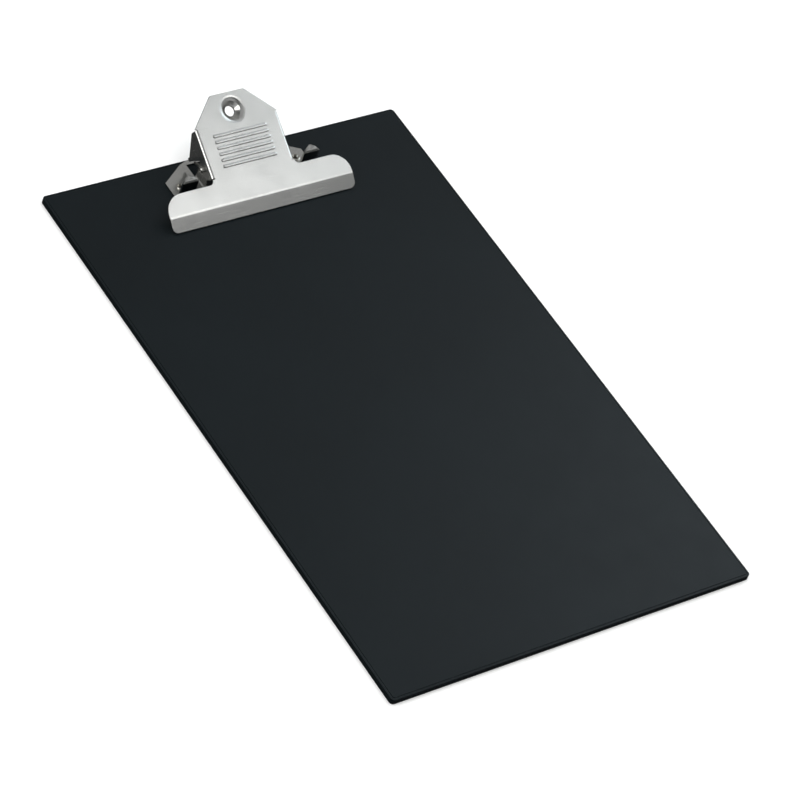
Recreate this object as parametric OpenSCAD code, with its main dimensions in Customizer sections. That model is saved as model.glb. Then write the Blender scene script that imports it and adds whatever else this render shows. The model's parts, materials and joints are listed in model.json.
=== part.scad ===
// Foolscap clipboard: a PVC-covered board and a spring clip that pivots on a steel pin.
// Millimetres. +Z up, +Y towards the clip, origin at the centre of the board's underside.

/* [Board] */
// Board width
board_w = 229; // [200:1:260]
// Board length
board_l = 356; // [300:1:400]
// Board thickness over both covers
board_t = 3.4; // [3:0.1:5]
// Cover film thickness
film_t = 0.5; // [0.3:0.05:0.8]
// Welded rim width outside the core
rim_w = 2; // [1.5:0.1:4]
// Outer corner radius
corner_r = 2.2; // [1:0.1:10]
// Weld line: distance from the edge
weld_inset = 1.3; // [1:0.1:3]

/* [Clip position] */
// Board's top edge to the clip's datum, just behind the lip
clip_setback = 46.8; // [46:0.1:80]

/* [Clamp plate] */
// Sheet thickness
sheet_t = 0.8; // [0.6:0.1:1]
// Jaw width along the paper's edge
jaw_w = 118.5; // [112:0.5:140]
// Jaw depth, bend to rear edge
jaw_d = 12.2; // [12:0.1:16]
// Largest radius of the jaw's rear corners
jaw_r = 11.5; // [6:0.5:11.5]
// Lip length from its edge to the bend
lip_l = 8.4; // [7:0.1:10]
// Lip corner radius
lip_r = 3.5; // [1:0.1:5]
// Lip angle to the board
lip_ang = 40; // [36:1:50]
// Lever angle to the board
lever_ang = 28.2; // [26:0.1:30]
// Stem width over the cheeks
stem_w = 53; // [50:0.5:58]
// Lever length, bend to head
lever_l = 59.6; // [58:0.1:64]
// Head: width of its end
head_w = 21.8; // [16:0.1:30]
// Head: where the stem's sides turn inwards
head_s = 43.6; // [43:0.1:46]
// Outer radius of the folds between stem and cheeks
fold_r = 1.7; // [1.5:0.1:2]

/* [Ribs and hanging hole] */
// Number of grip ribs
rib_count = 6; // [3:1:6]
// Rib spacing
rib_pitch = 3.42; // [3:0.02:3.6]
// Rib length, end to end
rib_len = 35; // [25:0.5:40]
// Rib height above the sheet
rib_h = 0.3; // [0.2:0.05:0.45]
// First rib from the bend
rib_first = 20.3; // [19:0.1:21]
// Hanging hole radius
hole_r = 3; // [2.5:0.1:3.3]
// Hanging hole from the bend
hole_s = 49.7; // [49:0.1:51]
// Depth of the dish round the hole
dish_h = 3.3; // [2.5:0.1:4]

/* [Pivot] */
// Pin centre behind the datum
pin_y = 28.6; // [28:0.1:29.5]
// Pin centre above the board
pin_z = 11.9; // [11.5:0.1:12.4]
// Pin radius
pin_r = 1.5; // [1.3:0.1:1.6]

/* [Springs] */
// Wire diameter
wire_d = 1.5; // [1.2:0.1:1.6]
// Mean coil radius
coil_r = 3.1; // [2.9:0.1:3.2]
// Full turns in each coil
turns = 4; // [2:1:5]

/* [Rivets] */
// Rivet position either side of the middle
rivet_x = 37.4; // [36:0.1:39]
// Rivet barrel radius
rivet_r = 1.75; // [1.5:0.05:2]

/* [Hidden] */
$fn = 96;

clip_y = board_l / 2 - clip_setback;
rivet_y = 29.4;              // behind the clip's datum
washer_r = 4.6;
recess_h = 0.9;              // rivet recess in the board's back
plate_t = 1;                 // base plate sheet
ear_out = 25.2;              // outer face of each ear
ear_fold = 0.7;              // inner fold radius of ears and stops
stop_x = [34.3, 44.3];       // each paper stop, from and to
stop_y = 20.7;               // front face of the stops
stop_h = 12.6;               // where the stops start to curl back
base_front = 21;             // base plate's front and rear edges
base_rear = 46;
base_half = 24;              // half the width of its rear edge
ear_window = [10, 23.5, 42.9]; // opening left by each ear: half width, front and rear
cheek_out = stem_w / 2;
spring_x = 14.4;             // first turn of each coil, beside the middle
pin_fit = 0.05;              // radial clearance of the cheeks on the pin

// Outer corner of the bend between lip and lever, in the clip's own Y and Z.
bend_y = 5.8;
bend_z = 6.3;
bend_r = 8;
bend_cut = bend_r * tan((lip_ang - lever_ang) / 2);
bend_end = bend_cut + 0.15;   // where lever and lip start, inside the bend's own flats
bend_run = bend_cut + 0.3;    // those flats' length, either side
jaw_round = min(jaw_r, floor(10 * (jaw_d - bend_run - 0.1)) / 10);  // a round number keeps the arcs exact

// The ribs are arcs two millimetres wide, pressed up out of the sheet.
rib_half = 1;
rib_r = (rib_half ^ 2 + rib_h ^ 2) / (2 * rib_h);
rib_sink = rib_r - rib_h;

function dir(a) = [cos(a), sin(a)];

// A point given in the clip's Y and Z, as distance along and above the lever's top face.
function on_lever(y, z) = [
    (y - bend_y) * cos(lever_ang) + (z - bend_z) * sin(lever_ang),
    (z - bend_z) * cos(lever_ang) - (y - bend_y) * sin(lever_ang)];

// ---------- placing and small shapes ----------

module at_clip() translate([0, clip_y, board_t]) children();

module along_sheet(ang) translate([0, bend_y, bend_z]) rotate([ang, 0, 0]) children();

module both_sides() for (s = [0, 1]) mirror([s, 0, 0]) children();

// Extrudes a 2D shape drawn in Y and Z along X, from x0 to x1.
module yz_sheet(x0, x1) translate([x0, 0, 0]) rotate([90, 0, 90]) linear_extrude(x1 - x0) children();

module round_rect(w, l, r) {
    square([w - 2 * r, l], center = true);
    square([w, l - 2 * r], center = true);
    for (x = [-1, 1], y = [-1, 1]) translate([x * (w / 2 - r), y * (l / 2 - r)]) circle(r);
}

// A quarter or less of a folded sheet, seen end on, about its own centre.
module fold(ri, ro, a0, a1) intersection() {
    difference() { circle(ro); circle(ri); }
    polygon([[0, 0], 2 * ro * [cos(a0), sin(a0)],
             3 * ro * [cos((a0 + a1) / 2), sin((a0 + a1) / 2)], 2 * ro * [cos(a1), sin(a1)]]);
}

module rivet_places() both_sides() translate([rivet_x, clip_y + rivet_y, 0]) children();

// ---------- board ----------

module board_core() color("#8a7a62") difference() {
    translate([0, 0, film_t]) linear_extrude(board_t - 2 * film_t)
        round_rect(board_w - 2 * rim_w, board_l - 2 * rim_w, 1);
    rivet_places() {
        cylinder(h = board_t, r = rivet_r + 0.15);
        cylinder(h = recess_h, r = washer_r + 0.2);
    }
}

// Half of the cover: a film with its share of the welded rim. Its outer face is at z = 0.
module cover_half() difference() {
    linear_extrude(board_t / 2) round_rect(board_w, board_l, corner_r);
    translate([0, 0, film_t]) linear_extrude(board_t) round_rect(board_w - 2 * rim_w, board_l - 2 * rim_w, 1);
    // the weld line, and the rim pressed a little lower than the panel
    translate([0, 0, -1]) linear_extrude(1.08) difference() {
        square([board_w + 2, board_l + 2], center = true);
        round_rect(board_w - 2 * weld_inset, board_l - 2 * weld_inset, 1.2);
    }
    translate([0, 0, -1]) linear_extrude(1.22) difference() {
        round_rect(board_w - 2 * weld_inset + 0.5, board_l - 2 * weld_inset + 0.5, 1.3);
        round_rect(board_w - 2 * weld_inset - 0.5, board_l - 2 * weld_inset - 0.5, 1);
    }
}

module front_cover() color("#1f2629") difference() {
    translate([0, 0, board_t]) mirror([0, 0, 1]) cover_half();
    rivet_places() cylinder(h = board_t + 1, r = rivet_r + 0.15);
}

module back_cover() color("#1f2629") difference() {
    cover_half();
    rivet_places() translate([0, 0, -1]) cylinder(h = recess_h + 1, r = washer_r + 0.2);
}

// ---------- base plate ----------

module base_outline() {
    // right-hand edge from the front backwards, with the relief cut beside the stop's fold
    inner = stop_x[0];
    half = [[inner - 0.5, base_front], [inner - 0.5, base_front + 3], [inner - 0.2, base_front + 3],
            [inner - 0.2, stop_y + 2], [stop_x[1], stop_y + 2], [stop_x[1], 34.3],
            [base_half + 5.5, base_rear - 2], [base_half, base_rear]];
    difference() {
        polygon(concat(half, [for (i = [len(half) - 1 : -1 : 0]) [-half[i].x, half[i].y]]));
        // the ears are cut out of the plate and leave a window each
        for (x = [-1, 1]) translate([x * (ear_out + ear_fold + ear_window[0]) / 2,
                                     (ear_window[1] + ear_window[2]) / 2])
            square([ear_out + ear_fold - ear_window[0], ear_window[2] - ear_window[1]], center = true);
        for (x = [-1, 1]) translate([x * rivet_x, rivet_y]) circle(rivet_r + 0.1);
    }
}

module ear() {
    difference() {
        yz_sheet(ear_out - plate_t, ear_out) {
            polygon([[24, plate_t + ear_fold], [34, plate_t + ear_fold],
                     [pin_y + 3.9, pin_z], [pin_y - 3.9, pin_z]]);
            translate([pin_y, pin_z]) circle(4);
        }
        translate([0, pin_y, pin_z]) rotate([0, 90, 0]) cylinder(h = 40, r = pin_r + 0.01);
    }
    translate([ear_out + ear_fold, 34, plate_t + ear_fold]) rotate([90, 0, 0])
        linear_extrude(10) fold(ear_fold, ear_fold + plate_t, 180, 270);
}

// A paper stop: bent up from the front edge, its rounded top curled back.
module paper_stop() {
    w = stop_x[1] - stop_x[0];
    intersection() {
        yz_sheet(stop_x[0], stop_x[1]) {
            translate([stop_y, 2]) square([plate_t, stop_h - 2]);
            translate([stop_y + 2, 2]) fold(1, 2, 180, 270);
            translate([stop_y + 4, stop_h]) fold(3, 4, 100, 180);
        }
        translate([stop_x[0] + w / 2, stop_y + 10, 0]) rotate([90, 0, 0]) linear_extrude(12) {
            translate([-w / 2, -1]) square([w, stop_h]);
            translate([0, stop_h - 1]) intersection() {
                translate([0, -3.2]) circle(7.2);
                translate([-w / 2, 0]) square([w, 10]);
            }
        }
    }
}

module base_plate() color("#b8bab6") at_clip() {
    linear_extrude(plate_t) base_outline();
    both_sides() { ear(); paper_stop(); }
}

// ---------- clamp plate ----------

module lever_outline() {
    w = jaw_w / 2;
    translate([-w + jaw_round, bend_end]) square([jaw_w - 2 * jaw_round, jaw_d - bend_end]);
    for (x = [-1, 1]) translate([x * (w - jaw_round), jaw_d - jaw_round]) intersection() {
        circle(jaw_round);
        translate([x * jaw_round / 2, jaw_round / 2]) square(jaw_round, center = true);
    }
    translate([-w, bend_end]) square([jaw_w, jaw_d - jaw_round - bend_end]);
    // root of the stem with its fillets, the stem between the folds, and the head
    translate([-cheek_out, jaw_d - 1]) square([stem_w, 3.6]);
    for (x = [-1, 1]) difference() {
        translate([x * (cheek_out + 1.2), jaw_d + 1.1]) square([2.6, 2.4], center = true);
        translate([x * (cheek_out + 2.4), jaw_d + 2.4]) circle(2.4);
    }
    translate([-cheek_out + fold_r, jaw_d]) square([stem_w - 2 * fold_r, head_s - jaw_d]);
    polygon([[-cheek_out + fold_r, head_s - 0.6], [cheek_out - fold_r, head_s - 0.6],
             [cheek_out, head_s], [head_w / 2, lever_l], [-head_w / 2, lever_l], [-cheek_out, head_s]]);
}

// A rounded bar along X with ball ends, as long as a rib where it leaves the sheet.
module rib_bar(r) {
    straight = rib_len - 2 * rib_half;
    rotate([0, 90, 0]) cylinder(h = straight, r = r, center = true, $fn = 64);
    for (x = [-1, 1]) translate([x * straight / 2, 0, 0]) sphere(r, $fn = 64);
}

module rib_places() for (i = [0 : rib_count - 1])
    translate([0, rib_first + i * rib_pitch, -rib_sink]) children();

// The pressed dish: shoulder, cone and the hanging hole's own straight wall.
module dish() rotate_extrude() polygon([
    [8, 0], [6.9, -0.1], [6.2, -0.4], [hole_r + 2.2, -1.05], [hole_r + 0.45, -dish_h + 0.35],
    [hole_r, -dish_h], [hole_r, -dish_h - 1], [hole_r + 0.7, -dish_h - 0.9], [hole_r + 1.25, -dish_h + 0.1],
    [hole_r + 1.9, -1.75], [5.9, -1.2], [6.6, -0.88], [8, -sheet_t]]);

// Outline of one cheek on the lever's own axes: a lobe round the pin and a tail that stops the travel.
module cheek_outline() {
    pin = on_lever(pin_y, pin_z);
    tip = on_lever(41.2, 6.9);
    root = jaw_d + 3.2;
    difference() {
        union() {
            polygon([[root, -fold_r], [root, -3.4], [pin.x - 3.6, pin.y - 2.2], pin, [27.7, -6.5],
                     tip + [-1.15, 0.3], tip + [0.95, 0.7], [head_s - 0.6, -4.8], [head_s - 0.6, -fold_r]]);
            translate(pin) circle(4.2);
            translate(tip) circle(1.2);
        }
        translate(pin) circle(pin_r + pin_fit);
    }
}

module cheek() {
    root = jaw_d + 3.2;
    yz_sheet(cheek_out - sheet_t, cheek_out) cheek_outline();
    translate([cheek_out - fold_r, head_s - 0.6, -fold_r]) rotate([90, 0, 0])
        linear_extrude(head_s - 0.6 - root) fold(fold_r - sheet_t, fold_r, 0, 90);
}

// The bend seen end on, with a short run of lever and lip either side of it.
module bend_profile() {
    centre = bend_cut * dir(lever_ang) - bend_r * dir(90 + lever_ang);
    step = (lip_ang - lever_ang) / 8;
    polygon(concat(
        [bend_run * dir(lever_ang) - sheet_t * dir(90 + lever_ang), bend_run * dir(lever_ang)],
        [for (i = [0 : 8]) centre + bend_r * dir(90 + lever_ang + i * step)],
        [-bend_run * dir(lip_ang), -bend_run * dir(lip_ang) - sheet_t * dir(90 + lip_ang)],
        [for (i = [8 : -1 : 0]) centre + (bend_r - sheet_t) * dir(90 + lever_ang + i * step)]));
}

module clamp_plate() color("#dcdedc") at_clip() {
    along_sheet(lever_ang) {
        difference() {
            union() {
                translate([0, 0, -sheet_t]) linear_extrude(sheet_t) difference() {
                    lever_outline();
                    translate([0, hole_s]) circle(8);
                }
                rib_places() intersection() {
                    rib_bar(rib_r);
                    translate([0, 0, rib_sink + 0.2]) cube([rib_len + 4, 4, 1.6], center = true);
                }
                translate([0, hole_s, 0]) dish();
            }
            rib_places() rib_bar(rib_r - 0.75);
        }
        both_sides() cheek();
    }
    along_sheet(lip_ang) translate([0, 0, -sheet_t]) linear_extrude(sheet_t) {
        translate([-jaw_w / 2, -lip_l + lip_r]) square([jaw_w, lip_l - lip_r - bend_end]);
        translate([-jaw_w / 2 + lip_r, -lip_l]) square([jaw_w - 2 * lip_r, lip_r]);
        for (x = [-1, 1]) translate([x * (jaw_w / 2 - lip_r), -lip_l + lip_r]) circle(lip_r);
    }
    translate([0, bend_y, bend_z]) yz_sheet(-jaw_w / 2, jaw_w / 2) bend_profile();
}

// ---------- pivot pin and springs ----------

module pivot_pin() color("#b0b0ac") at_clip() translate([0, pin_y, pin_z]) rotate([0, 90, 0]) {
    cylinder(h = 2 * cheek_out + 1, r = pin_r, center = true);
    for (s = [0, 1]) mirror([0, 0, s]) translate([0, 0, cheek_out + 0.35]) rotate_extrude()
        polygon([[0, 0], [pin_r + 0.45, 0], [pin_r + 0.45, 1.6], [pin_r, 2.1], [pin_r - 0.7, 2.3], [0, 2.3]]);
}

// One torsion spring. Both legs run backwards: one under the lever, the other on to the base plate.
top_ang = lever_ang + 3;
low_ang = -23.5;
coil_pitch = wire_d * 1.12;
coil_ang = 360 * turns + 180 + low_ang - top_ang;
coil_steps = 22 * turns;

function unit(v) = v / norm(v);
function coil_point(i) = let (a = 90 + top_ang + coil_ang * i / coil_steps)
    [coil_pitch * coil_ang / 360 * i / coil_steps, coil_r * cos(a), coil_r * sin(a)];

wire_path = concat(
    [coil_point(0) + 17 * [0, cos(top_ang), sin(top_ang)], coil_point(0) + [0, cos(top_ang), sin(top_ang)]],
    [for (i = [0 : coil_steps]) coil_point(i)],
    [coil_point(coil_steps) + [0, cos(low_ang), sin(low_ang)],
     coil_point(coil_steps) + 15.5 * [0, cos(low_ang), sin(low_ang)]]);

module spring_shape(sides = 10) {
    last = len(wire_path) - 1;
    points = [for (i = [0 : last])
        let (t = unit(wire_path[min(i + 1, last)] - wire_path[max(i - 1, 0)]),
             e = unit([1, 0, 0] - t.x * t), f = cross(t, e))
        for (k = [0 : sides - 1])
            wire_path[i] + wire_d / 2 * (cos(360 * k / sides) * e + sin(360 * k / sides) * f)];
    sides_of = [for (i = [0 : last - 1], k = [0 : sides - 1]) let (m = (k + 1) % sides)
        [i * sides + k, (i + 1) * sides + k, (i + 1) * sides + m, i * sides + m]];
    ends = [[for (k = [0 : sides - 1]) k], [for (k = [sides - 1 : -1 : 0]) last * sides + k]];
    polyhedron(points, concat(sides_of, ends));
}

module spring_place() translate([spring_x, pin_y, pin_z]) children();

module right_spring() color("#8d8f8c") at_clip() spring_place() spring_shape();

module left_spring() color("#8d8f8c") at_clip() mirror([1, 0, 0]) spring_place() spring_shape();

// ---------- rivets ----------

// A tubular rivet: rolled head on the base plate, flared end over the washer in the board's back.
module rivet_shape() translate([0, clip_y + rivet_y, 0]) rotate_extrude() {
    top = board_t + plate_t;
    difference() {
        union() {
            translate([0, 0.25]) square([rivet_r, top]);
            polygon([[0, 0.05], [2.9, 0.05], [2.9, 0.3], [0, 0.3]]);
            translate([0, top]) square([2.1, 0.7]);
            translate([2.1, top + 0.05]) intersection() {
                circle(0.65, $fn = 32);
                translate([0, -0.05]) square(1);
            }
        }
        square([1.05, 10]);
        polygon([[0, top + 0.75], [1.9, top + 0.75], [1.05, top - 0.1], [0, top - 0.1]]);
    }
}

module washer_shape() translate([0, clip_y + rivet_y, 0.35]) difference() {
    cylinder(h = 0.5, r = washer_r);
    translate([0, 0, -1]) cylinder(h = 3, r = rivet_r + 0.1);
}

module left_rivet() color("#c4c2ba") translate([-rivet_x, 0, 0]) rivet_shape();

module right_rivet() color("#c4c2ba") translate([rivet_x, 0, 0]) rivet_shape();

module left_washer() color("#aeb0ae") translate([-rivet_x, 0, 0]) washer_shape();

module right_washer() color("#aeb0ae") translate([rivet_x, 0, 0]) washer_shape();

// ---------- nodes ----------

board_core();
front_cover();
back_cover();
base_plate();
clamp_plate();
pivot_pin();
left_spring();
right_spring();
left_rivet();
right_rivet();
left_washer();
right_washer();
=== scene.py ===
"""Looks for the foolscap clipboard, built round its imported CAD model."""

import json
import math

import bpy
from mathutils import Matrix, Vector


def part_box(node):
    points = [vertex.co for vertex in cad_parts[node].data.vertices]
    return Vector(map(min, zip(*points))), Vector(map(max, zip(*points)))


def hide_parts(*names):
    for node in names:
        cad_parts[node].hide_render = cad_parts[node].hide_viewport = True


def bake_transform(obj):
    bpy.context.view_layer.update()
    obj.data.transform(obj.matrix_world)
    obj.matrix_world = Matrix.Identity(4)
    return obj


bl_info = {
    "name": "Foolscap Clipboard Looks",
    "version": (1, 0, 0),
    "blender": (4, 5, 0),
    "location": "3D View > Sidebar > Clipboard",
    "description": "Materials, spring wire, stage and camera for a film-covered clipboard with a spring clip",
    "category": "Object",
}

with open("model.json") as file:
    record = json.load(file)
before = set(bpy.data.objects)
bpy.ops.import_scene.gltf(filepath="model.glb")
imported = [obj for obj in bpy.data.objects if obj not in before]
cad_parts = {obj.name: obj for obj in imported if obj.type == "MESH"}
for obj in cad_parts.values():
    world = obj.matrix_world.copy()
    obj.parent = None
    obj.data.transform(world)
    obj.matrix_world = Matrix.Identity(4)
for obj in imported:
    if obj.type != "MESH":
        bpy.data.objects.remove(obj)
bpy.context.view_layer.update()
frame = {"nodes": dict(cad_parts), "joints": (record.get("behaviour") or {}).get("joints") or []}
MM = 0.001

BOARD_LOW, BOARD_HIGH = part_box("front_cover")
BOARD_TOP = BOARD_HIGH.z
JOINT = frame["joints"][0]
PIVOT = Vector(JOINT["pos_m"])

# the spring legs' angles to the board at rest, in degrees
UPPER_LEG_ANGLE = 31.2
LOWER_LEG_ANGLE = -23.5
# sides of the wire, rings in a turn of the coil, and the coil's pitch in wire diameters
WIRE_SIDES = 16
RINGS_PER_TURN = 30
COIL_PITCH = 1.12

# how much smoother the base plate is than the lever, and the roughness of the small steel pieces
BASE_SMOOTHER = 0.07
PIN_ROUGHNESS = 0.25
RIVET_ROUGHNESS = 0.2
WIRE_ROUGHNESS = 0.3

# the floor in metres, a hair below the board so that the two never share a plane
FLOOR_SIZE = 24
FLOOR_DROP = 0.2 * MM


# ---------- colour and node helpers ----------

def linear(code):
    """An sRGB hex colour as the linear RGBA that the shaders take."""
    parts = [int(code[i:i + 2], 16) / 255 for i in (1, 3, 5)]
    return [c / 12.92 if c <= 0.04045 else ((c + 0.055) / 1.055) ** 2.4 for c in parts] + [1.0]


def shade(colour, factor):
    """The same colour, lighter or darker."""
    return [min(c * factor, 1.0) for c in colour[:3]] + [1.0]


def add(tree, kind, inputs=None, stops=None, **settings):
    """Adds a node. An input is a value, or another node's output to link from; stops are a ramp's colours."""
    node = tree.nodes.new(kind)
    for key, value in settings.items():
        setattr(node, key, value)
    for key, value in (inputs or {}).items():
        if isinstance(value, bpy.types.NodeSocket):
            tree.links.new(value, node.inputs[key])
        else:
            node.inputs[key].default_value = value
    for number, (position, colour) in enumerate(stops or ()):
        elements = node.color_ramp.elements
        element = elements[number] if number < 2 else elements.new(position)
        element.position, element.color = position, colour
    return node


def new_material(name, **shader):
    """A material with only its shader and output. Returns it, its tree, the shader and object coordinates."""
    material = bpy.data.materials.new(name)
    material.use_nodes = True
    tree = material.node_tree
    tree.nodes.clear()
    bsdf = add(tree, "ShaderNodeBsdfPrincipled", shader)
    add(tree, "ShaderNodeOutputMaterial", {"Surface": bsdf.outputs["BSDF"]})
    return material, tree, bsdf, add(tree, "ShaderNodeTexCoord").outputs["Object"]


def dress(node, material):
    """Gives a CAD node its material."""
    slots = frame["nodes"][node].data.materials
    slots.clear()
    slots.append(material)


# ---------- materials ----------

def embossed_film(look):
    """Calendered PVC film, embossed by a satin roller: deep colour, a broad soft sheen and a fine grain."""
    material, tree, bsdf, where = new_material("calendered_pvc_film", IOR=1.5, **{"Specular IOR Level": 0.25})
    # slow unevenness of the film over the board's fibres, a hand's width across
    drift = add(tree, "ShaderNodeTexNoise", {"Vector": where, "Scale": 1 / (90 * MM), "Detail": 3.0})
    tone = add(tree, "ShaderNodeValToRGB", {"Fac": drift.outputs["Fac"]},
               stops=[(0.3, shade(look.film, 0.88)), (0.7, shade(look.film, 1.12))])
    tree.links.new(tone.outputs["Color"], bsdf.inputs["Base Color"])
    # the sheen breaks up a little where the film has been handled
    rub = add(tree, "ShaderNodeTexNoise", {"Vector": where, "Scale": 1 / (14 * MM), "Detail": 6.0})
    sheen = add(tree, "ShaderNodeMapRange", {"Value": rub.outputs["Fac"], "From Min": 0.3, "From Max": 0.7,
                                             "To Min": look.roughness - 0.02,
                                             "To Max": look.roughness + 0.03})
    tree.links.new(sheen.outputs["Result"], bsdf.inputs["Roughness"])
    # the roller's fine grain, and the soft edge of a cut and welded film
    edge = add(tree, "ShaderNodeBevel", {"Radius": 0.3 * MM}, samples=6)
    grain = add(tree, "ShaderNodeTexVoronoi", {"Vector": where, "Scale": 1 / look.grain})
    emboss = add(tree, "ShaderNodeBump", {"Height": grain.outputs["Distance"], "Distance": 0.015 * MM,
                                          "Normal": edge.outputs["Normal"]})
    tree.links.new(emboss.outputs["Normal"], bsdf.inputs["Normal"])
    return material


def pressed_greyboard(look):
    """Grey pulp board, pressed between rollers: matt, with short pale and dark fibres."""
    material, tree, bsdf, where = new_material("pressed_greyboard", Roughness=0.92)
    fibres = add(tree, "ShaderNodeTexNoise", {"Vector": where, "Scale": 1 / (1.2 * MM), "Detail": 8.0})
    tone = add(tree, "ShaderNodeValToRGB", {"Fac": fibres.outputs["Fac"]},
               stops=[(0.35, shade(look.core, 0.65)), (0.7, shade(look.core, 1.4))])
    tree.links.new(tone.outputs["Color"], bsdf.inputs["Base Color"])
    bump = add(tree, "ShaderNodeBump", {"Height": fibres.outputs["Fac"], "Distance": 0.08 * MM})
    tree.links.new(bump.outputs["Normal"], bsdf.inputs["Normal"])
    return material


def plated_sheet(name, colour, roughness):
    """Rolled steel sheet, pressed, then nickel plated: satin metal with faint lines and soft waviness."""
    material, tree, bsdf, where = new_material(name, Metallic=1.0)
    # the plate lies a little thicker and brighter in patches as wide as a thumb
    clouds = add(tree, "ShaderNodeTexNoise", {"Vector": where, "Scale": 1 / (15 * MM), "Detail": 4.0})
    tone = add(tree, "ShaderNodeValToRGB", {"Fac": clouds.outputs["Fac"]},
               stops=[(0.3, shade(colour, 0.93)), (0.65, shade(colour, 1.03))])
    tree.links.new(tone.outputs["Color"], bsdf.inputs["Base Color"])
    # the sheet's rolling lines run along the jaw, a fifth of a millimetre apart
    along = add(tree, "ShaderNodeMapping", {"Vector": where,
                                            "Scale": (1 / (16 * MM), 1 / (0.2 * MM), 1 / (0.2 * MM))})
    lines = add(tree, "ShaderNodeTexNoise", {"Vector": along.outputs["Vector"], "Scale": 1.0, "Detail": 3.0})
    satin = add(tree, "ShaderNodeMapRange", {"Value": lines.outputs["Fac"], "From Min": 0.3, "From Max": 0.7,
                                             "To Min": roughness - 0.004, "To Max": roughness + 0.004})
    tree.links.new(satin.outputs["Result"], bsdf.inputs["Roughness"])
    # sheared edges are broken in the tumbler, and the faces keep a faint ripple
    edge = add(tree, "ShaderNodeBevel", {"Radius": 0.22 * MM}, samples=6)
    ripple = add(tree, "ShaderNodeTexNoise", {"Vector": where, "Scale": 1 / (1.6 * MM), "Detail": 2.0})
    bump = add(tree, "ShaderNodeBump", {"Height": ripple.outputs["Fac"], "Distance": 0.002 * MM,
                                        "Normal": edge.outputs["Normal"]})
    tree.links.new(bump.outputs["Normal"], bsdf.inputs["Normal"])
    return material


def drawn_steel(name, colour, roughness, grain):
    """Steel drawn through a die: darker and brighter flecks finer than the wire, under a film of oil."""
    material, tree, bsdf, where = new_material(name, Metallic=1.0, Roughness=roughness)
    flecks = add(tree, "ShaderNodeTexNoise", {"Vector": where, "Scale": 1 / grain, "Detail": 4.0})
    tone = add(tree, "ShaderNodeValToRGB", {"Fac": flecks.outputs["Fac"]},
               stops=[(0.35, shade(colour, 0.75)), (0.65, shade(colour, 1.15))])
    tree.links.new(tone.outputs["Color"], bsdf.inputs["Base Color"])
    edge = add(tree, "ShaderNodeBevel", {"Radius": 0.12 * MM}, samples=6)
    bump = add(tree, "ShaderNodeBump", {"Height": flecks.outputs["Fac"], "Distance": 0.01 * MM,
                                        "Normal": edge.outputs["Normal"]})
    tree.links.new(bump.outputs["Normal"], bsdf.inputs["Normal"])
    return material


def floor_paper(colour):
    """White background paper: matt, very slightly clouded."""
    material, tree, bsdf, where = new_material("white_background_paper", Roughness=0.95)
    pulp = add(tree, "ShaderNodeTexNoise", {"Vector": where, "Scale": 3.0, "Detail": 2.0})
    tone = add(tree, "ShaderNodeValToRGB", {"Fac": pulp.outputs["Fac"]},
               stops=[(0.3, shade(colour, 0.98)), (0.7, colour)])
    tree.links.new(tone.outputs["Color"], bsdf.inputs["Base Color"])
    return material


# ---------- settings ----------

class BoardSettings(bpy.types.PropertyGroup):
    """The board's cover film and core"""
    film: bpy.props.FloatVectorProperty(name="Film", description="Colour of the cover film", size=4,
                                        subtype="COLOR", min=0, max=1, default=linear("#080F12"))
    roughness: bpy.props.FloatProperty(name="Roughness", description="Roughness of the film's sheen",
                                       default=0.38, min=0.1, max=1.0)
    grain: bpy.props.FloatProperty(name="Grain", description="Width of one grain of the film's emboss",
                                   default=0.35 * MM, min=0.1 * MM, max=2 * MM, unit="LENGTH",
                                   subtype="DISTANCE")
    core: bpy.props.FloatVectorProperty(name="Core", description="Colour of the greyboard inside", size=4,
                                        subtype="COLOR", min=0, max=1, default=linear("#8B8069"))


class ClipSettings(bpy.types.PropertyGroup):
    """The plated steel of the clip"""
    lever: bpy.props.FloatVectorProperty(name="Lever", description="Colour of the clamp plate's nickel",
                                         size=4, subtype="COLOR", min=0, max=1, default=linear("#E4E4E1"))
    base: bpy.props.FloatVectorProperty(name="Base", description="Colour of the base plate's nickel", size=4,
                                        subtype="COLOR", min=0, max=1, default=linear("#DCDCD8"))
    rivets: bpy.props.FloatVectorProperty(name="Rivets", description="Colour of rivets and washers", size=4,
                                          subtype="COLOR", min=0, max=1, default=linear("#DAD8D0"))
    pin: bpy.props.FloatVectorProperty(name="Pin", description="Colour of the pivot pin", size=4,
                                       subtype="COLOR", min=0, max=1, default=linear("#BFBEB9"))
    roughness: bpy.props.FloatProperty(name="Roughness", description="Roughness of the nickel plate",
                                       default=0.27, min=0.05, max=0.8)


class SpringSettings(bpy.types.PropertyGroup):
    """The wire, coils and legs of both springs"""
    colour: bpy.props.FloatVectorProperty(name="Wire colour", description="Colour of the spring wire", size=4,
                                          subtype="COLOR", min=0, max=1, default=linear("#A3A19A"))
    wire: bpy.props.FloatProperty(name="Wire", description="Diameter of the spring wire",
                                  default=1.5 * MM, unit="LENGTH", subtype="DISTANCE")
    radius: bpy.props.FloatProperty(name="Coil radius", description="Radius of the coil at the wire's centre",
                                    default=3.1 * MM, unit="LENGTH", subtype="DISTANCE")
    turns: bpy.props.IntProperty(name="Turns", description="Full turns in each coil", default=4, min=2, max=6)
    upper_leg: bpy.props.FloatProperty(name="Upper leg", description="Length of the leg under the lever",
                                       default=17 * MM, unit="LENGTH", subtype="DISTANCE")
    lower_leg: bpy.props.FloatProperty(name="Lower leg", description="Length of the leg towards the board",
                                       default=15.5 * MM, unit="LENGTH", subtype="DISTANCE")


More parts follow.
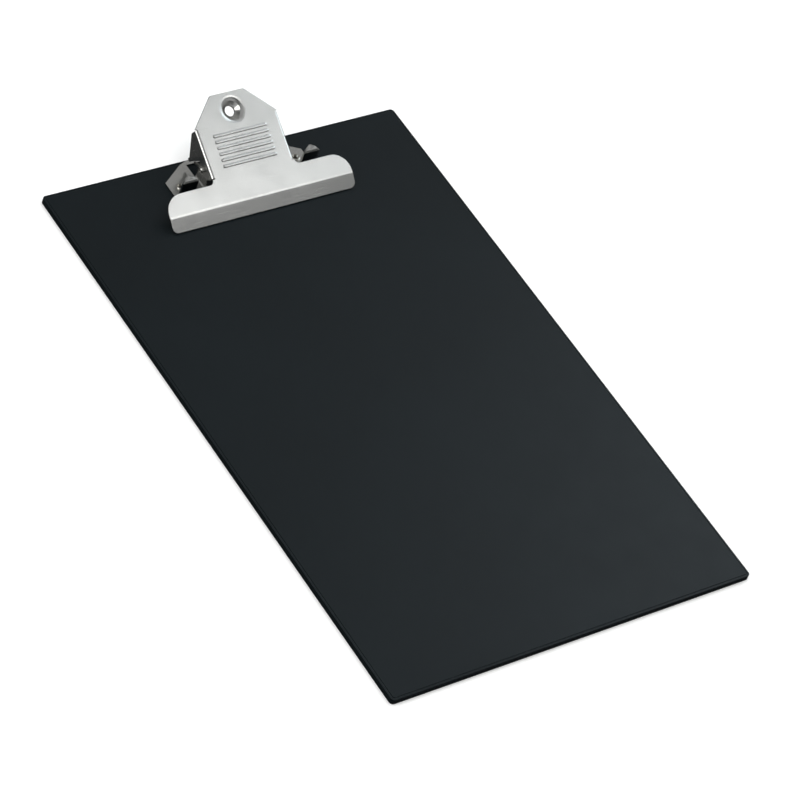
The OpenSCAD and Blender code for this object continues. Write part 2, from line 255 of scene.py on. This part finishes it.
class StageSettings(bpy.types.PropertyGroup):
    """Floor, lights, walls and camera"""
    floor: bpy.props.FloatVectorProperty(name="Floor", description="Colour of the background paper", size=4,
                                         subtype="COLOR", min=0, max=1, default=linear("#F8F8F7"))
    neutral: bpy.props.FloatVectorProperty(name="Neutral light", description="Colour of the main lights",
                                           size=4, subtype="COLOR", min=0, max=1, default=linear("#FFFFFF"))
    cool: bpy.props.FloatVectorProperty(name="Cool light", description="Colour of the board's softbox",
                                        size=4, subtype="COLOR", min=0, max=1, default=linear("#E4EFF6"))
    key: bpy.props.FloatProperty(name="Key light", description="Power of the lever's softbox",
                                 default=1.02, min=0, unit="POWER")
    side: bpy.props.FloatProperty(name="Side light", description="Power of the board's softbox",
                                  default=11.0, min=0, unit="POWER")
    base: bpy.props.FloatProperty(name="Base light", description="Power of the base plate's softbox",
                                  default=0.6, min=0, unit="POWER")
    glint: bpy.props.FloatProperty(name="Glint light", description="Power of the softbox beside the camera",
                                   default=6.0, min=0, unit="POWER")
    bank: bpy.props.FloatProperty(name="Overhead bank", description="Power of the overhead lights",
                                  default=235.0, min=0, unit="POWER")
    walls: bpy.props.FloatVectorProperty(name="Walls", description="Colour of the studio's walls", size=4,
                                         subtype="COLOR", min=0, max=1, default=linear("#F4F5F6"))
    fill: bpy.props.FloatProperty(name="Fill", description="Brightness of the studio's walls",
                                  default=0.45, min=0)
    azimuth: bpy.props.FloatProperty(name="Azimuth", description="Camera's bearing",
                                     default=math.radians(-48.92), unit="ROTATION", subtype="ANGLE")
    elevation: bpy.props.FloatProperty(name="Elevation", description="Camera's height angle",
                                       default=math.radians(44.86), unit="ROTATION", subtype="ANGLE")
    roll: bpy.props.FloatProperty(name="Roll", description="Tilt of the camera about its own axis",
                                  default=math.radians(22.2), unit="ROTATION", subtype="ANGLE")
    distance: bpy.props.FloatProperty(name="Distance", description="From the camera to where it aims",
                                      default=2.015, unit="LENGTH", subtype="DISTANCE")
    aim: bpy.props.FloatVectorProperty(name="Aim", description="Where on the board the camera aims", size=2,
                                       default=(-2.3 * MM, -11.1 * MM), unit="LENGTH", subtype="TRANSLATION")
    lens: bpy.props.FloatProperty(name="Lens", description="Focal length of the camera, in millimetres",
                                  default=173.7, min=20, max=400)


# ---------- operators ----------

class CLIPBOARD_OT_board(bpy.types.Operator):
    """Dress the board's two cover films and its core"""
    bl_idname = "clipboard.board"
    bl_label = "Board"

    def execute(self, context):
        look = context.scene.clipboard_board
        film = embossed_film(look)
        dress("front_cover", film)
        dress("back_cover", film)
        dress("board_core", pressed_greyboard(look))
        return {"FINISHED"}


class CLIPBOARD_OT_clip(bpy.types.Operator):
    """Dress the clamp plate, base plate, pin, rivets and washers"""
    bl_idname = "clipboard.clip"
    bl_label = "Clip"

    def execute(self, context):
        look = context.scene.clipboard_clip
        dress("clamp_plate", plated_sheet("nickel_plated_lever_sheet", look.lever, look.roughness))
        dress("base_plate", plated_sheet("nickel_plated_base_sheet", look.base,
                                         look.roughness - BASE_SMOOTHER))
        dress("pivot_pin", drawn_steel("drawn_steel_pin", look.pin, PIN_ROUGHNESS, 0.5 * MM))
        rivets = plated_sheet("bright_plated_rivet_steel", look.rivets, RIVET_ROUGHNESS)
        for node in ("left_rivet", "right_rivet", "left_washer", "right_washer"):
            dress(node, rivets)
        return {"FINISHED"}


class CLIPBOARD_OT_springs(bpy.types.Operator):
    """Wind both torsion springs round the pin"""
    bl_idname = "clipboard.springs"
    bl_label = "Springs"

    def execute(self, context):
        size = context.scene.clipboard_springs
        steel = drawn_steel("oiled_spring_wire", size.colour, WIRE_ROUGHNESS, 0.25 * MM)
        for side, node in ((-1, "left_spring"), (1, "right_spring")):
            piece = wind_spring(node + "_wire", side, node, size)
            piece.data.materials.append(steel)
            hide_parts(node)
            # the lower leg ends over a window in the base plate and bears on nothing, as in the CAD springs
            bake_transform(piece)
        return {"FINISHED"}


def select_where(piece, test):
    """In edit mode, selects only the faces whose centre passes the test."""
    bpy.ops.mesh.select_all(action="DESELECT")
    bpy.ops.object.mode_set(mode="OBJECT")
    for face in piece.data.polygons:
        face.select = test(face)
    bpy.ops.object.mode_set(mode="EDIT")


def apply_modifier(piece, name, kind, **settings):
    """Adds a modifier with its settings and applies it."""
    modifier = piece.modifiers.new(name, kind)
    for key, value in settings.items():
        setattr(modifier, key, value)
    bpy.ops.object.modifier_apply(modifier=modifier.name)


def wind_spring(name, side, node, size):
    """A torsion spring wound round the pin: one leg runs under the lever, one slopes down to the board."""
    low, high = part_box(node)
    pitch = size.wire * COIL_PITCH
    lever_angle, base_angle = math.radians(UPPER_LEG_ANGLE), math.radians(LOWER_LEG_ANGLE)
    wound = 2 * math.pi * size.turns + math.pi + base_angle - lever_angle
    inner = (low.x if side > 0 else -high.x) + size.wire / 2
    steps = RINGS_PER_TURN * size.turns

    bpy.ops.object.select_all(action="DESELECT")
    # the wire's cut end lies across the coil, at the top of its first turn
    bpy.ops.mesh.primitive_circle_add(vertices=WIRE_SIDES, radius=size.wire / 2, fill_type="NOTHING",
                                      location=(0, size.radius, 0))
    piece = bpy.context.object
    piece.name = name
    bpy.ops.object.transform_apply(location=True, rotation=True, scale=True)
    apply_modifier(piece, "wind", "SCREW", axis="X", angle=wound, screw_offset=pitch * wound / (2 * math.pi),
                   steps=steps, render_steps=steps, use_merge_vertices=False)
    # the coil is turned until the upper leg leaves it along the lever
    piece.rotation_euler.x = math.pi / 2 + lever_angle
    piece.location = (inner, PIVOT.y, PIVOT.z)
    bpy.ops.object.transform_apply(location=True, rotation=True, scale=True)

    bpy.ops.object.mode_set(mode="EDIT")
    bpy.ops.mesh.select_all(action="SELECT")
    bpy.ops.mesh.fill_holes(sides=WIRE_SIDES)
    bpy.ops.mesh.normals_make_consistent(inside=False)
    for end, angle, length in ((inner, lever_angle, size.upper_leg),
                               (inner + pitch * wound / (2 * math.pi), base_angle, size.lower_leg)):
        out = Vector((0, math.cos(angle), math.sin(angle)))
        select_where(piece, lambda f: len(f.vertices) == WIRE_SIDES and abs(f.center.x - end) < size.wire / 2)
        bpy.ops.mesh.extrude_region_move(TRANSFORM_OT_translate={"value": out * length})
        # the cropped end has its edge knocked off
        bpy.ops.mesh.bevel(offset=0.12 * MM, segments=2, affect="EDGES")
    bpy.ops.mesh.select_all(action="SELECT")
    bpy.ops.mesh.normals_make_consistent(inside=False)
    bpy.ops.object.mode_set(mode="OBJECT")
    if side < 0:
        piece.scale.x = -1
        bpy.ops.object.transform_apply(location=False, rotation=False, scale=True)
        bpy.ops.object.mode_set(mode="EDIT")
        bpy.ops.mesh.select_all(action="SELECT")
        bpy.ops.mesh.normals_make_consistent(inside=False)
        bpy.ops.object.mode_set(mode="OBJECT")
    bpy.ops.object.shade_smooth_by_angle(angle=math.radians(40))
    return piece


class CLIPBOARD_OT_stage(bpy.types.Operator):
    """Set the floor, the softboxes and the camera"""
    bl_idname = "clipboard.stage"
    bl_label = "Stage"

    def execute(self, context):
        setup = context.scene.clipboard_stage
        bpy.ops.object.select_all(action="DESELECT")
        bpy.ops.mesh.primitive_grid_add(x_subdivisions=8, y_subdivisions=8, size=FLOOR_SIZE,
                                        location=(0, 0, -FLOOR_DROP))
        floor = bpy.context.object
        floor.name = "paper_floor"
        floor.data.materials.append(floor_paper(setup.floor))
        floor.visible_glossy = False
        world = bpy.data.worlds.new("studio")
        world.use_nodes = True
        world.node_tree.nodes.clear()
        # pale walls round the horizon, a dim band above them, a pale ceiling, nearly dark below the floor
        heading = add(world.node_tree, "ShaderNodeTexCoord").outputs["Generated"]
        height = add(world.node_tree, "ShaderNodeSeparateXYZ", {"Vector": heading}).outputs["Z"]
        room = add(world.node_tree, "ShaderNodeValToRGB", {"Fac": height},
                   stops=[(0.0, shade(setup.walls, 0.1)), (0.02, setup.walls), (0.28, setup.walls),
                          (0.5, shade(setup.walls, 0.15)), (0.73, shade(setup.walls, 0.15)),
                          (0.84, shade(setup.walls, 0.8))])
        sky = add(world.node_tree, "ShaderNodeBackground",
                  {"Color": room.outputs["Color"], "Strength": setup.fill})
        add(world.node_tree, "ShaderNodeOutputWorld", {"Surface": sky.outputs["Background"]})
        context.scene.world = world
        context.scene.view_settings.view_transform = "Standard"
        clip = Vector((0, BOARD_HIGH.y - 30 * MM, BOARD_TOP + 20 * MM))
        middle = Vector((0, 0, 0))
        softbox("lever_softbox", clip, (0.47, -0.42, 0.775), 1.5, (0.4, 0.4), setup.key, setup.neutral)
        softbox("board_softbox", middle, (0.80, 0.16, 0.58), 2.0, (1.2, 1.2), setup.side, setup.cool)
        softbox("base_softbox", clip, (0.50, 0.50, 0.70), 2.0, (0.9, 0.9), setup.base, setup.neutral)
        softbox("camera_side_softbox", clip, (-0.86, -0.15, 0.48), 1.5, (0.9, 0.6), setup.glint,
                setup.neutral)
        # a wide bank overhead lights floor and film evenly, and stays out of the plate's reflections
        bank = softbox("overhead_bank", middle, (-0.1, 0.1, 1.0), 3.5, (7.0, 7.0), setup.bank, setup.neutral)
        bank.visible_glossy = False
        aim_camera(setup)
        return {"FINISHED"}


def softbox(name, target, direction, distance, size, power, colour):
    """A rectangular light that faces the target from the given direction."""
    towards = Vector(direction).normalized()
    lamp = bpy.data.lights.new(name, "AREA")
    lamp.shape = "RECTANGLE"
    lamp.size, lamp.size_y = size
    lamp.energy = power
    lamp.color = colour[:3]
    box = bpy.data.objects.new(name, lamp)
    box.location = target + towards * distance
    box.rotation_euler = towards.to_track_quat("Z", "Y").to_euler()
    bpy.context.scene.collection.objects.link(box)
    return box


def aim_camera(setup):
    """Looks down over the board's near left corner, with the horizon tipped as the camera was held."""
    level = math.cos(setup.elevation)
    look = Vector((-math.sin(setup.azimuth) * level, math.cos(setup.azimuth) * level,
                   -math.sin(setup.elevation)))
    right = look.cross(Vector((0, 0, 1))).normalized()
    up = right.cross(look)
    roll = Matrix.Rotation(-setup.roll, 3, look)
    right, up = roll @ right, roll @ up
    lens = bpy.data.cameras.new("camera")
    lens.lens = setup.lens
    lens.sensor_width = 36
    camera = bpy.data.objects.new("camera", lens)
    turn = Matrix((right, up, -look)).transposed().to_4x4()
    aim = Vector((setup.aim[0], setup.aim[1], BOARD_TOP))
    camera.matrix_world = Matrix.Translation(aim - look * setup.distance) @ turn
    bpy.context.scene.collection.objects.link(camera)
    bpy.context.scene.camera = camera


# ---------- panel and registration ----------

class CLIPBOARD_PT_looks(bpy.types.Panel):
    """Sizes, colours and the operators that use them"""
    bl_idname = "CLIPBOARD_PT_looks"
    bl_label = "Clipboard"
    bl_space_type = "VIEW_3D"
    bl_region_type = "UI"
    bl_category = "Clipboard"

    def draw(self, context):
        scene = context.scene
        for title, settings, operator in (
                ("Board", scene.clipboard_board, CLIPBOARD_OT_board),
                ("Clip", scene.clipboard_clip, CLIPBOARD_OT_clip),
                ("Springs", scene.clipboard_springs, CLIPBOARD_OT_springs),
                ("Stage", scene.clipboard_stage, CLIPBOARD_OT_stage)):
            box = self.layout.box()
            box.label(text=title)
            for name in settings.__annotations__:
                box.prop(settings, name)
            box.operator(operator.bl_idname)


CLASSES = (BoardSettings, ClipSettings, SpringSettings, StageSettings, CLIPBOARD_OT_board, CLIPBOARD_OT_clip,
           CLIPBOARD_OT_springs, CLIPBOARD_OT_stage, CLIPBOARD_PT_looks)
SETTINGS = {"clipboard_board": BoardSettings, "clipboard_clip": ClipSettings,
            "clipboard_springs": SpringSettings, "clipboard_stage": StageSettings}


def register():
    for cls in CLASSES:
        bpy.utils.register_class(cls)
    for name, group in SETTINGS.items():
        setattr(bpy.types.Scene, name, bpy.props.PointerProperty(type=group))


def unregister():
    for name in SETTINGS:
        delattr(bpy.types.Scene, name)
    for cls in reversed(CLASSES):
        bpy.utils.unregister_class(cls)


def main():
    register()
    bpy.ops.clipboard.board()
    bpy.ops.clipboard.clip()
    bpy.ops.clipboard.springs()
    bpy.ops.clipboard.stage()


if __name__ == "__main__":
    main()
